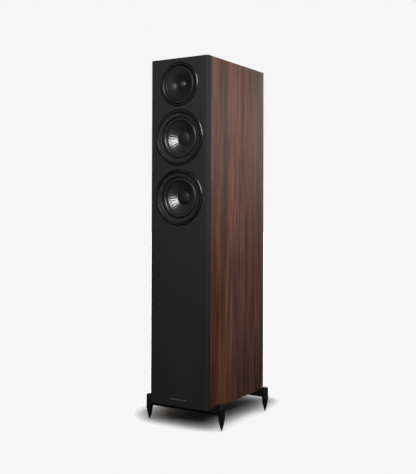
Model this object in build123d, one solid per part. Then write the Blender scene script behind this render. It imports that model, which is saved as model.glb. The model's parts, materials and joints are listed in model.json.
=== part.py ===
from build123d import *
import math
import os

# Floorstanding loudspeaker: slim three-driver cabinet on two outrigger bars with
# four levelling spikes, rear port and bi-wire terminals.
# Millimetres. +X right (seen from the front), +Y towards the back, +Z up.
# Origin: centre of the bounding box in plan, on the floor under the spike tips.
# Depths "u" below are measured from the front face of the baffle, towards the back.

# ---------------------------------------------------------------- driving sizes
CAB_W = 180.0          # cabinet width
CAB_D = 314.0          # baffle face to rear panel face
CAB_H = 926.0          # cabinet height without feet
CLEAR = 54.0           # floor to the underside of the cabinet
BAFFLE_T = 18.0        # front baffle thickness
WALL_T = 15.0          # side, top, bottom and rear panels
EDGE_R = 5.0           # roundover on the baffle's two upright front edges
EDGE_R_ENDS = 1.5      # roundover on its top and bottom front edges

TW_DROP = 70.0         # top of cabinet to tweeter centre
MID_DROP = 212.5       # top of cabinet to midrange centre
WF_DROP = 372.0        # top of cabinet to woofer centre

PORT_R = 25.0          # clear radius of the bass reflex tube
PORT_L = 150.0
PORT_Z = 400.0

TERM_Z = 175.0         # centre of the terminal plate
POST_DX = 19.0         # half the spacing of the posts, sideways
POST_DZ = 16.0         # half the spacing of the posts, up and down
STUD_R = 4.0
BANANA_R = 2.0         # 4 mm plug socket in the end of each stud
BANANA_L = 20.0
CAP_END_U = 342.0      # depth of the rear end of the post caps

SPIKE_X = 115.0        # spike axis from the centreline
SPIKE_U_FRONT = 33.0   # spike axes behind the baffle face
SPIKE_U_REAR = 277.0
BAR_T = 13.0           # outrigger bar thickness under the cabinet
BAR_W = 16.0
BOSS_R = 9.25
ARM_TOP = 11.0         # arm ends stand this far above the cabinet's underside
SPIKE_CONE = 34.0      # length of the tapered part
TIP_R = 0.8
SCREW_R = 4.0          # M8 levelling screw
RUN = 0.06             # radial running clearance of screws and caps

TRIM_PROUD = 1.75      # trim rings stand this far in front of the baffle

Y_FRONT = -(CAP_END_U - TRIM_PROUD) / 2.0
Z0 = CLEAR
Z1 = CLEAR + CAB_H
Z_TW = Z1 - TW_DROP
Z_MID = Z1 - MID_DROP
Z_WF = Z1 - WF_DROP
U_REAR_IN = CAB_D - WALL_T


def Y(u):
    return Y_FRONT + u


# ---------------------------------------------------------------- helpers
def outline(start, *steps):
    """Closed face in the XY plane. A step is a point, or (through, end) for an arc."""
    edges = []
    p = start
    for s in steps:
        if isinstance(s[0], (tuple, list)):
            edges.append(ThreePointArc(p, s[0], s[1]))
            p = s[1]
        else:
            edges.append(Line(p, s))
            p = s
    if math.dist(p, start) > 1e-9:
        edges.append(Line(p, start))
    return make_face(Curve() + edges)


def lathe(face, z=0.0):
    """Turns an (r, u) profile about an axis along Y at height z."""
    s = revolve(face, Axis.Y, 360)
    return Pos(0, Y_FRONT, z) * s


def lathe_z(face, x=0.0, y=0.0):
    """Turns an (r, z) profile about an upright axis."""
    s = revolve(Plane.XZ * face, Axis.Z, 360)
    return Pos(x, y, 0) * s


def cyl_y(r, u0, u1, x=0.0, z=0.0):
    return Pos(x, Y((u0 + u1) / 2), z) * Rot(90, 0, 0) * Cylinder(r, u1 - u0)


def cyl_z(r, z0, z1, x=0.0, y=0.0):
    return Pos(x, y, (z0 + z1) / 2) * Cylinder(r, z1 - z0)


def block(x0, x1, u0, u1, z0, z1):
    return Pos((x0 + x1) / 2, Y((u0 + u1) / 2), (z0 + z1) / 2) * Box(x1 - x0, u1 - u0, z1 - z0)


def ring(r0, r1, u0, u1, z):
    return cyl_y(r1, u0, u1, 0, z) - cyl_y(r0, u0 - 1, u1 + 1, 0, z)


def cap_arc(r1, u0, u1):
    """Arc of a sphere centred on the axis, from its crown (0, u0) to the rim (r1, u1)."""
    h = u1 - u0
    big = (r1 * r1 + h * h) / (2 * h)
    rm = r1 / 2
    return (rm, u0 + big - math.sqrt(big * big - rm * rm))


def polar(radius, count, start, z):
    for i in range(count):
        a = math.radians(start + 360.0 * i / count)
        yield radius * math.cos(a), z + radius * math.sin(a)


def solids_of(shape):
    return list(shape.solids())


os.makedirs("parts", exist_ok=True)
NODES = []


def save(name, shape):
    if isinstance(shape, (list, tuple)):
        parts = []
        for s in shape:
            parts += solids_of(s)
        shape = Compound(children=parts) if len(parts) > 1 else parts[0]
    else:
        parts = solids_of(shape)
        shape = parts[0] if len(parts) == 1 else Compound(children=parts)
    export_step(shape, "parts/" + name + ".step")
    NODES.append(name)
    return shape


# ---------------------------------------------------------------- screw positions
SCREW_SHANK = 2.0
TW_SCREWS = list(polar(51.0, 4, 45, Z_TW))
MID_SCREWS = list(polar(66.5, 6, 30, Z_MID))
WF_SCREWS = list(polar(66.5, 6, 30, Z_WF))
TW_FLANGE_U = 4.5
DRV_FLANGE_U = 7.0

# ---------------------------------------------------------------- cabinet
baffle = Pos(0, Y(BAFFLE_T / 2), (Z0 + Z1) / 2) * Box(CAB_W, BAFFLE_T, CAB_H)
front = baffle.faces().sort_by(Axis.Y)[0].edges()
baffle = fillet(front.filter_by(Axis.Z), EDGE_R)
ends = [e for e in baffle.edges().filter_by(Axis.X) if abs(e.center().Y - Y_FRONT) < 0.01]
baffle = fillet(ends, EDGE_R_ENDS)
baffle -= cyl_y(57.0, -1, 6.0, 0, Z_TW) + cyl_y(40.0, -1, 20, 0, Z_TW)
for zc, screws in ((Z_MID, MID_SCREWS), (Z_WF, WF_SCREWS)):
    baffle -= cyl_y(73.4, -1, 9.5, 0, zc) + cyl_y(60.0, -1, 20, 0, zc)
for x, z in TW_SCREWS + MID_SCREWS + WF_SCREWS:
    baffle -= cyl_y(SCREW_SHANK + 0.05, 5, 20, x, z)
# shallow pocket for the plain inlay strip near the bottom
BADGE_Z = Z0 + 19.0
baffle -= block(-28, 28, -1, 0.6, BADGE_Z - 2.0, BADGE_Z + 2.0)
save("front_baffle", baffle)
save("badge_inlay", block(-28, 28, -0.2, 0.6, BADGE_Z - 2.0, BADGE_Z + 2.0))


def panel_xz(points, u0, u1):
    f = make_face(Polyline(*points, close=True))
    s = extrude(Plane.XZ * f, CAB_D)            # the XZ plane looks towards -Y
    s = Pos(0, CAB_D, 0) * s                    # now from y = 0 to y = CAB_D
    s &= Pos(0, (u1 - u0) / 2, (Z0 + Z1) / 2) * Box(2 * CAB_W, u1 - u0, 2 * CAB_H)
    return Pos(0, Y(u0), 0) * s


H = CAB_W / 2
side_r = panel_xz([(H, Z0), (H, Z1), (H - WALL_T, Z1 - WALL_T), (H - WALL_T, Z0 + WALL_T)], BAFFLE_T, CAB_D)
side_l = panel_xz([(-H, Z0), (-H, Z1), (-H + WALL_T, Z1 - WALL_T), (-H + WALL_T, Z0 + WALL_T)], BAFFLE_T, CAB_D)
top = panel_xz([(-H, Z1), (H, Z1), (H - WALL_T, Z1 - WALL_T), (-H + WALL_T, Z1 - WALL_T)], BAFFLE_T, CAB_D)
bottom = panel_xz([(-H, Z0), (H, Z0), (H - WALL_T, Z0 + WALL_T), (-H + WALL_T, Z0 + WALL_T)], BAFFLE_T, CAB_D)

BOLT_R = 3.0
BOLT_X = (-60.0, 0.0, 60.0)
for u in (SPIKE_U_FRONT, SPIKE_U_REAR):
    for x in BOLT_X:
        bottom -= cyl_z(BOLT_R + 0.05, Z0 - 1, Z0 + 12.5, x, Y(u))
save("side_panel_right", side_r)
save("side_panel_left", side_l)
save("top_panel", top)
save("bottom_panel", bottom)

HI = H - WALL_T
rear = block(-HI, HI, U_REAR_IN, CAB_D, Z0 + WALL_T, Z1 - WALL_T)
rear -= cyl_y(PORT_R + 2.6, U_REAR_IN - 1, CAB_D + 1, 0, PORT_Z)
rear -= cyl_y(39.0, CAB_D - 11.5, CAB_D + 1, 0, PORT_Z)      # rebate for the flare
cutout = block(-40, 40, U_REAR_IN - 1, CAB_D + 1, TERM_Z - 27, TERM_Z + 27)
rear -= cutout
TERM_SCREWS = [(sx * 47.0, TERM_Z + sz * 33.0) for sx in (-1, 1) for sz in (-1, 1)]
for x, z in TERM_SCREWS:
    rear -= cyl_y(1.75, CAB_D - 13, CAB_D + 1, x, z)
save("rear_panel", rear)

# window braces: shelves with one large opening, glued between the panels
braces = []
for zb in (Z1 - 129, Z1 - 293, Z1 - 455, Z0 + 230):
    shelf = block(-HI, HI, BAFFLE_T, U_REAR_IN, zb - 6, zb + 6)
    hole = block(-45, 45, 59.5, 259.5, zb - 8, zb + 8)
    hole = fillet(hole.edges().filter_by(Axis.Z), 30)
    braces.append(shelf - hole)
save("shelf_braces", braces)

# soft fibre pads on the inside of the rear panel
pads = []
for za, zb in ((Z1 - 116, Z1 - 22), (Z1 - 280, Z1 - 144), (Z1 - 440, Z1 - 306)):
    pad = block(-68, 68, U_REAR_IN - 32, U_REAR_IN, za, zb)
    pad = fillet(pad.faces().sort_by(Axis.Y)[0].edges(), 10)
    pads.append(pad)
save("damping_wadding", pads)

# bass reflex tube with a flared rear mouth
RO = PORT_R + 2.5
u_in = CAB_D - PORT_L
FLARE = 13.5
uc = CAB_D + 2.5 - FLARE
k = math.sqrt(0.5)
port = outline(
    (PORT_R, u_in + 2.5), (PORT_R, uc),
    ((PORT_R + FLARE * (1 - k), uc + FLARE * k), (PORT_R + FLARE, CAB_D + 2.5)), (41.0, CAB_D + 2.5),
    ((41.85, CAB_D + 2.1), (42.2, CAB_D + 1.2)), (42.2, CAB_D), (PORT_R + FLARE, CAB_D),
    ((PORT_R + FLARE - (FLARE - 2.5) * k, uc + (FLARE - 2.5) * k), (RO, uc)), (RO, u_in + 1.2),
    ((RO - 1.3, u_in), (PORT_R, u_in + 2.5)))
save("port_tube", lathe(port, PORT_Z))

# ---------------------------------------------------------------- outrigger feet
def outrigger(u):
    f = outline(
        (-SPIKE_X, Z0 - BAR_T), (SPIKE_X, Z0 - BAR_T), (SPIKE_X, Z0 + ARM_TOP), (97.5, Z0 + ARM_TOP),
        (97.5, Z0 + 7.5), ((95.4, Z0 + 2.4), (90.4, Z0)), (-90.4, Z0),
        ((-95.4, Z0 + 2.4), (-97.5, Z0 + 7.5)), (-97.5, Z0 + ARM_TOP), (-SPIKE_X, Z0 + ARM_TOP))
    bar = extrude(Plane.XZ * f, BAR_W)
    bar = Pos(0, Y(u) + BAR_W / 2, 0) * bar
    for sx in (-1, 1):
        bar += cyl_z(BOSS_R, Z0 - BAR_T, Z0 + ARM_TOP, sx * SPIKE_X, Y(u))
    for sx in (-1, 1):
        bar -= cyl_z(SCREW_R + RUN, 0, Z1, sx * SPIKE_X, Y(u))
    for x in BOLT_X:
        bar -= cyl_z(BOLT_R + 0.05, 0, Z1, x, Y(u))
        bar -= cyl_z(5.6, Z0 - BAR_T - 1, Z0 - BAR_T + 6.0, x, Y(u))
    return bar


save("outrigger_front", outrigger(SPIKE_U_FRONT))
save("outrigger_rear", outrigger(SPIKE_U_REAR))

bolts = []
for u in (SPIKE_U_FRONT, SPIKE_U_REAR):
    for x in BOLT_X:
        head = cyl_z(5.3, Z0 - BAR_T + 2.6, Z0 - BAR_T + 6.0, x, Y(u))
        socket = Pos(x, Y(u), Z0 - BAR_T + 2.6) * extrude(RegularPolygon(2.3, 6), 2.0)
        bolts.append(head + cyl_z(BOLT_R, Z0 - BAR_T + 6.0, Z0 + 12.0, x, Y(u)) - socket)
save("outrigger_bolts", bolts)

CORNERS = {"fl": (-SPIKE_X, SPIKE_U_FRONT), "fr": (SPIKE_X, SPIKE_U_FRONT),
           "rl": (-SPIKE_X, SPIKE_U_REAR), "rr": (SPIKE_X, SPIKE_U_REAR)}
Z_SHOULDER = Z0 - BAR_T
caps = []
for tag, (x, u) in CORNERS.items():
    y = Y(u)
    prof = outline(
        (0, 0), (TIP_R, 0), ((5.7, 16.5), (8.75, SPIKE_CONE - 0.8)), (BOSS_R, SPIKE_CONE + 0.8),
        (BOSS_R, Z_SHOULDER), (SCREW_R + RUN, Z_SHOULDER), (SCREW_R + RUN, 22.5), (0, 22.5))
    save("spike_" + tag, lathe_z(prof, x, y))
    screw = cyl_z(SCREW_R, 23.0, Z0 + ARM_TOP - 1.5, x, y)
    screw -= Pos(x, y, Z0 + ARM_TOP - 6.5) * extrude(RegularPolygon(2.3, 6), 6)
    save("levelling_screw_" + tag, screw)
    cap = cyl_z(BOSS_R, Z0 + ARM_TOP, Z0 + ARM_TOP + 3.6, x, y)
    cap = chamfer(cap.edges().group_by(Axis.Z)[-1], 0.8)
    cap -= cyl_z(3.2, Z0, Z1, x, y)
    caps.append(cap)
save("lock_caps", caps)

# ---------------------------------------------------------------- rear terminals
U_PLATE = CAB_D + 3.0
plate = block(-54, 54, CAB_D, U_PLATE, TERM_Z - 40, TERM_Z + 40)
plate = fillet(plate.edges().filter_by(Axis.Y), 8)
plate = chamfer(plate.faces().sort_by(Axis.Y)[-1].edges(), 0.8)
rim = block(-39.8, 39.8, CAB_D - 6, CAB_D, TERM_Z - 26.8, TERM_Z + 26.8) - \
    block(-37.5, 37.5, CAB_D - 7, CAB_D, TERM_Z - 24.5, TERM_Z + 24.5)
plate += rim
POSTS = {"hf_pos": (POST_DX, POST_DZ), "hf_neg": (-POST_DX, POST_DZ),
         "lf_pos": (POST_DX, -POST_DZ), "lf_neg": (-POST_DX, -POST_DZ)}
for dx, dz in POSTS.values():
    plate -= cyl_y(STUD_R + 0.05, CAB_D - 1, U_PLATE + 1, dx, TERM_Z + dz)
for x, z in TERM_SCREWS:
    plate -= cyl_y(1.8, CAB_D - 1, U_PLATE + 1, x, z)
    plate -= Pos(x, Y(U_PLATE - 0.8), z) * Rot(-90, 0, 0) * Cone(1.8, 3.4, 1.6)
save("terminal_plate", plate)

screws = []
for x, z in TERM_SCREWS:
    head = Pos(x, Y(U_PLATE - 0.8), z) * Rot(-90, 0, 0) * Cone(1.7, 3.3, 1.6)
    shank = cyl_y(1.7, CAB_D - 12, U_PLATE - 1.6, x, z)
    s = head + shank
    s -= block(x - 2.0, x + 2.0, U_PLATE - 0.9, U_PLATE + 1, z - 0.35, z + 0.35)
    s -= block(x - 0.35, x + 0.35, U_PLATE - 0.9, U_PLATE + 1, z - 2.0, z + 2.0)
    screws.append(s)
save("terminal_screws", screws)

U_COLLAR = U_PLATE + 4.0
U_LINK = U_COLLAR + 1.5
U_WASH = U_LINK + 1.5
U_STUD = CAP_END_U - 0.5
posts = []
for dx, dz in POSTS.values():
    z = TERM_Z + dz
    stud = cyl_y(STUD_R, CAB_D - 11.0, U_STUD, dx, z)
    stud += cyl_y(8.5, U_PLATE, U_COLLAR, dx, z)
    nut = Pos(dx, Y(CAB_D), z) * Rot(90, 0, 0) * extrude(RegularPolygon(6.6, 6), 4.5)
    stud += nut
    stud -= cyl_y(BANANA_R, U_STUD - BANANA_L, U_STUD + 1, dx, z)
    posts.append(stud)
save("binding_posts", posts)

links = []
for sx in (-1, 1):
    f = block(sx * POST_DX - 6.5, sx * POST_DX + 6.5, U_COLLAR, U_LINK, TERM_Z - POST_DZ - 6.5, TERM_Z + POST_DZ + 6.5)
    f = fillet(f.edges().filter_by(Axis.Y), 6.0)
    for sz in (-1, 1):
        f -= cyl_y(STUD_R + 0.1, U_COLLAR - 1, U_LINK + 1, sx * POST_DX, TERM_Z + sz * POST_DZ)
    links.append(f)
save("link_plates", links)

for tag, (dx, dz) in POSTS.items():
    z = TERM_Z + dz
    washer = cyl_y(7.8, U_LINK, U_WASH, dx, z) - cyl_y(STUD_R + RUN, 300, 360, dx, z)
    save("clamp_washer_" + tag, washer)
    cap = cyl_y(8.0, U_WASH, CAP_END_U, dx, z)
    cap = chamfer(cap.edges().group_by(Axis.Y)[-1], 1.0)
    for gx, gz in polar(9.1, 10, 0, z):
        cap -= cyl_y(1.7, U_WASH + 3.0, CAP_END_U + 1, dx + gx, gz)
    cap -= cyl_y(STUD_R + RUN, U_WASH - 1, CAP_END_U + 1, dx, z)
    save("post_cap_" + tag, cap)

# ---------------------------------------------------------------- tweeter
tw_trim = outline(
    (59.2, 0), ((54.85, -TRIM_PROUD), (50.5, 0)), (49.7, 1.2), (47.6, 1.6), (47.6, 4.5),
    (48.5, 4.5), (48.5, 2.4), (55.4, 2.4), (55.4, 4.5), (56.9, 4.5), (56.9, 0))
save("tweeter_trim_ring", lathe(tw_trim, Z_TW))

tw_face = outline(
    (56.5, 4.5), (47.4, 4.5), (47.4, 1.8), (44.4, 1.8), ((43.5, 0.6), (41.8, 0.1)),
    ((40.6, 0.35), (39.6, 1.2)), ((27.0, 4.6), (16.6, 10.0)), (16.6, 12.0), (30.0, 12.0),
    (30.0, 13.5), (39.5, 13.5), (39.5, 6.0), (56.5, 6.0))
tw_face = lathe(tw_face, Z_TW)
for x, z in TW_SCREWS:
    tw_face -= cyl_y(SCREW_SHANK + 0.05, 0, 10, x, z)
save("tweeter_faceplate", tw_face)

dome = outline(
    (0, 7.4), (cap_arc(12.55, 7.4, 12.0), (12.55, 12.0)), ((14.4, 10.6), (16.2, 12.4)), (18.0, 12.4),
    (18.0, 12.8), (15.8, 12.8), ((14.4, 11.2), (12.95, 12.6)), (12.1, 12.6), (cap_arc(12.1, 7.85, 12.6), (0, 7.85)))
save("tweeter_dome", lathe(dome, Z_TW))

tw_coil = [ring(12.4, 12.6, 12.6, 20.0, Z_TW), ring(12.6, 13.0, 14.0, 17.5, Z_TW)]
save("tweeter_voice_coil", tw_coil)

tw_motor = [ring(13.3, 36.0, 13.5, 16.5, Z_TW), ring(17.0, 36.0, 16.5, 26.5, Z_TW),
            cyl_y(35.0, 26.5, 30.5, 0, Z_TW) + cyl_y(12.0, 13.5, 26.5, 0, Z_TW)]
save("tweeter_motor", tw_motor)

tw_cup = cyl_y(39.0, 13.5, 33.5, 0, Z_TW) - cyl_y(37.2, 13.0, 31.5, 0, Z_TW)
tw_cup = fillet(tw_cup.edges().group_by(Axis.Y)[-1], 2.0)
save("tweeter_rear_cup", tw_cup)


# ---------------------------------------------------------------- midrange and woofer
CONE_FRONT = [(39.9, 9.5), (26.4, 18.6), (12.9, 30.0)]


def cone_front():
    """Depth of the cone's front face at a radius: a circle through three points."""
    (x1, y1), (x2, y2), (x3, y3) = CONE_FRONT
    d = 2 * (x1 * (y2 - y3) + x2 * (y3 - y1) + x3 * (y1 - y2))
    cx = ((x1**2 + y1**2) * (y2 - y3) + (x2**2 + y2**2) * (y3 - y1) + (x3**2 + y3**2) * (y1 - y2)) / d
    cy = ((x1**2 + y1**2) * (x3 - x2) + (x2**2 + y2**2) * (x1 - x3) + (x3**2 + y3**2) * (x2 - x1)) / d
    rad = math.hypot(x1 - cx, y1 - cy)
    sign = 1.0 if y2 > cy else -1.0
    return lambda r: cy + sign * math.sqrt(rad**2 - (r - cx)**2)


def driver(name, zc, screws):
    trim = outline(
        (75.15, 0), ((70.8, -TRIM_PROUD), (66.45, 0)), (66.1, 0.35), (58.0, 0.35),
        ((56.586, 0.936), (56.0, 2.35)), (55.6, 6.4), (55.6, 7.0), (57.4, 7.0), (57.8, 2.4),
        (71.4, 2.4), (71.6, 7.0), (73.2, 7.0), (73.2, 0))
    save(name + "_trim_ring", lathe(trim, zc))

    basket = outline(
        (50.5, 7.0), (73.0, 7.0), (73.0, 9.5), (59.0, 9.5), (42.0, 47.5), (42.0, 50.0), (16.0, 50.0),
        (16.0, 47.5), (39.8, 47.5), (42.98, 40.4), (33.0, 40.4), (33.0, 38.4), (43.87, 38.4),
        (56.8, 9.5), (50.5, 9.5))
    basket = lathe(basket, zc)
    for i in range(6):
        w = Pos(0, Y(24.5), 0) * Box(30, 23, 60)
        w = Pos(0, 0, zc) * Rot(0, 60.0 * i + 30.0, 0) * (Pos(0, 0, 60) * w)
        basket -= w
    for x, z in screws:
        basket -= cyl_y(SCREW_SHANK + 0.05, 0, 12, x, z)
    # tag block for the lead, on the rear ring
    basket += block(-53, -40, 45, 50, zc - 7, zc + 7) - cyl_y(39.0, 40, 51, 0, zc)
    save(name + "_basket", basket)

    surround = outline(
        (55.4, 6.2), (53.0, 6.2), ((52.55, 3.256), (49.9, 1.9)), ((44.77, 3.84), (42.2, 8.7)), (40.2, 8.7),
        (40.2, 9.5), (43.0, 9.5), ((45.3, 4.447), (49.9, 2.71)), ((51.89, 3.73), (52.33, 5.5)), (52.33, 7.0),
        (55.4, 7.0))
    save(name + "_surround", lathe(surround, zc))

    cone = outline(
        (42.6, 9.5), CONE_FRONT[0], (CONE_FRONT[1], CONE_FRONT[2]), (12.9, 31.0), ((26.4, 19.5), (40.3, 10.2)),
        (42.6, 10.2))
    cone = lathe(cone, zc)
    save(name + "_cone", cone)

    # the cap's rim sits on the cone's front face
    face_u = cone_front()
    ra, rb = 18.3, 17.3
    ua, um, ub = (face_u(r) - 0.02 for r in (ra, (ra + rb) / 2, rb))
    cap = outline((0, 19.4), (cap_arc(ra, 19.4, ua - 0.3), (ra, ua - 0.3)), (ra, ua), (((ra + rb) / 2, um), (rb, ub)),
                  (cap_arc(rb, 20.0, ub), (0, 20.0)))
    save(name + "_dust_cap", lathe(cap, zc))

    coil = [ring(12.65, 12.9, 28.0, 60.0, zc), ring(12.9, 13.5, 46.0, 58.0, zc)]
    save(name + "_voice_coil", coil)

    # corrugated centring disc
    n, r0, r1, amp, t = 5, 15.5, 32.6, 1.3, 0.5
    wave = [(r0 + (r1 - r0) * i / (2 * n), 37.9 + (0 if i in (0, 2 * n) else (amp if i % 2 else -amp)))
            for i in range(2 * n + 1)]
    prof = [(12.9, 37.9)] + wave + [(39.5, 37.9), (39.5, 38.4)] + \
        [(r, u + t) for r, u in reversed(wave)] + [(12.9, 38.4)]
    save(name + "_spider", lathe(make_face(Polyline(*prof, close=True)), zc))

    motor = [ring(13.9, 40.0, 50.0, 55.0, zc), ring(24.0, 45.0, 55.0, 70.0, zc),
             cyl_y(42.0, 70.0, 75.0, 0, zc) + cyl_y(12.2, 50.0, 70.0, 0, zc)]
    save(name + "_motor", motor)


driver("midrange", Z_MID, MID_SCREWS)
driver("woofer", Z_WF, WF_SCREWS)

drv_screws = []
for pts, uf in ((TW_SCREWS, TW_FLANGE_U), (MID_SCREWS + WF_SCREWS, DRV_FLANGE_U)):
    for x, z in pts:
        hr = 2.3 if uf == TW_FLANGE_U else 3.0
        hh = 1.5 if uf == TW_FLANGE_U else 2.4
        s = cyl_y(hr, uf - hh, uf, x, z) + cyl_y(SCREW_SHANK, uf, uf + 15.0, x, z)
        s -= block(x - 1.4, x + 1.4, uf - hh - 1, uf - hh + 0.8, z - 0.35, z + 0.35)
        s -= block(x - 0.35, x + 0.35, uf - hh - 1, uf - hh + 0.8, z - 1.4, z + 1.4)
        drv_screws.append(s)
save("driver_screws", drv_screws)

# ---------------------------------------------------------------- crossover and leads
ZB = Z0 + WALL_T
BOARD_T = 5.0
board = block(-60, 60, 145, 265, ZB, ZB + BOARD_T)
board = fillet(board.edges().filter_by(Axis.Z), 4)
save("crossover_board", board)
ZC = ZB + BOARD_T


def coil_at(x, u, r0, r1, h):
    y = Y(u)
    return cyl_z(r1, ZC, ZC + h, x, y) - cyl_z(r0, ZC - 1, ZC + h + 1, x, y)


def can_x(x0, x1, u, r):
    return Pos((x0 + x1) / 2, Y(u), ZC + r) * Rot(0, 90, 0) * Cylinder(r, x1 - x0)


parts = [coil_at(-32, 190, 8, 22, 18), coil_at(30, 188, 7, 18, 14), coil_at(-34, 240, 6, 15, 12),
         can_x(8, 52, 222, 11), can_x(12, 48, 246, 8),
         block(-4, 5, 165, 213, ZC, ZC + 9), block(36, 45, 150, 166, ZC, ZC + 9)]
save("crossover_components", parts)

LEAD_R = 2.25


def lead(points):
    """Round lead along straight runs joined by arcs as large as the runs allow."""
    pts = [Vector(x, Y(u), z) for x, u, z in points]
    radii = []
    for a, b, c in zip(pts, pts[1:], pts[2:]):
        d1, d2 = b - a, c - b
        turn = math.radians(d1.get_angle(d2))
        radii.append(0.45 * min(d1.length, d2.length) / math.tan(turn / 2))
    path = FilletPolyline(*pts, radius=radii)
    start = Plane(origin=pts[0], z_dir=(pts[1] - pts[0]).normalized())
    s = sweep(start * Circle(LEAD_R), path=path)
    print("lead radii", [round(r) for r in radii], "length", round(path.length, 1),
          "volume error", round(s.volume / (path.length * math.pi * LEAD_R ** 2) - 1, 5))
    return s


leads = [
    lead([(-30, 155, ZC), (-30, 155, 540), (-48, 140, Z_WF - 8), (-48, 90, Z_WF), (-48, 50, Z_WF)]),
    lead([(-21, 155, ZC), (-21, 155, 700), (-48, 140, Z_MID - 8), (-48, 90, Z_MID), (-48, 50, Z_MID)]),
    lead([(-12, 155, ZC), (-12, 155, 850), (-16, 120, Z_TW - 10), (-20, 80, Z_TW), (-20, 33.5, Z_TW)]),
    lead([(POST_DX, CAB_D - 11.0, TERM_Z + POST_DZ), (POST_DX, 275, TERM_Z + POST_DZ), (POST_DX + 6, 257, 150), (POST_DX + 6, 257, ZC)]),
    lead([(-POST_DX, CAB_D - 11.0, TERM_Z + POST_DZ), (-POST_DX, 275, TERM_Z + POST_DZ), (-POST_DX + 6, 257, 150), (-POST_DX + 6, 257, ZC)]),
]
save("internal_leads", leads)

print(len(NODES), "nodes")
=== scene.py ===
import json
import math

import bmesh
import bpy
import numpy as np
from mathutils import Matrix, Vector

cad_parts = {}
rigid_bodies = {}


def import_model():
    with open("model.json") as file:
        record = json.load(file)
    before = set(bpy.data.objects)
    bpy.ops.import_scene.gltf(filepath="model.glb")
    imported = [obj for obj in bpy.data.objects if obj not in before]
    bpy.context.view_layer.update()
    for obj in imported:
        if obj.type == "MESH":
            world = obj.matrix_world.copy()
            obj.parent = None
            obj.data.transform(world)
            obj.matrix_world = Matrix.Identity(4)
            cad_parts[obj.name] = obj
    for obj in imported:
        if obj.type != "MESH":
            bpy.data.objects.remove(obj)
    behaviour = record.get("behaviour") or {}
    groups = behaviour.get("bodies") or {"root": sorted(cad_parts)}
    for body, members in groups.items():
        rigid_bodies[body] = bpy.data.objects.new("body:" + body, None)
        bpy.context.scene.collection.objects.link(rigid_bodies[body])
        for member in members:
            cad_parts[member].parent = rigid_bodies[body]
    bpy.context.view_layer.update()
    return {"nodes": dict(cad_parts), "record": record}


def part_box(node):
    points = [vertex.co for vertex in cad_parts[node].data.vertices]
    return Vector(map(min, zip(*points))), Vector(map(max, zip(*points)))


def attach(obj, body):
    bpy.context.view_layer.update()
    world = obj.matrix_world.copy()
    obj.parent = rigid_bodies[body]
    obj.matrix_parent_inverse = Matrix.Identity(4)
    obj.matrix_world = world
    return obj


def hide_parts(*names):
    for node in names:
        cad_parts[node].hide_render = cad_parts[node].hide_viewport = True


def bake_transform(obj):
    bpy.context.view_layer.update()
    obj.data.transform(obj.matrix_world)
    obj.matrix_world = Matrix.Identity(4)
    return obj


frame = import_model()
NODES = frame["nodes"]
SCENE = bpy.context.scene

# ------------------------------------------------------------------ places, from the frame
MM = 0.001
LO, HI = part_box("front_baffle")
YF = LO.y                      # front face of the baffle
ZBOT, ZTOP = LO.z, HI.z        # underside and top of the cabinet
HALF_W = HI.x
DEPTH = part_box("side_panel_right")[1].y - YF
Z_TW = sum(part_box("tweeter_trim_ring"), Vector()).z / 2
Z_MID = sum(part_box("midrange_trim_ring"), Vector()).z / 2
Z_WF = sum(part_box("woofer_trim_ring"), Vector()).z / 2
Z_PORT = sum(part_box("port_tube"), Vector()).z / 2


def yu(u):
    """Depth u in millimetres behind the baffle face, as a frame coordinate."""
    return YF + u * MM


# ------------------------------------------------------------------ camera
cam_data = bpy.data.cameras.new("camera")
cam = bpy.data.objects.new("camera", cam_data)
SCENE.collection.objects.link(cam)
SCENE.camera = cam
R = Vector((0.85142, 0.52447, 0.00277))
U = Vector((0.00581, -0.01471, 0.99987))
F = Vector((-0.52445, 0.8513, 0.01557)).normalized()
R = (R - F * R.dot(F)).normalized()
U = R.cross(F).normalized()
rot = Matrix((R, U, -F)).transposed()
cam.matrix_world = Matrix.Translation((1.1486, -1.8853, 0.5695)) @ rot.to_4x4()
cam_data.sensor_width = 36.0
cam_data.lens = 59.03
cam_data.shift_y = -0.078
cam_data.clip_start = 0.05
cam_data.clip_end = 60.0

SCENE.view_settings.view_transform = "Standard"
SCENE.view_settings.look = "None"


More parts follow.
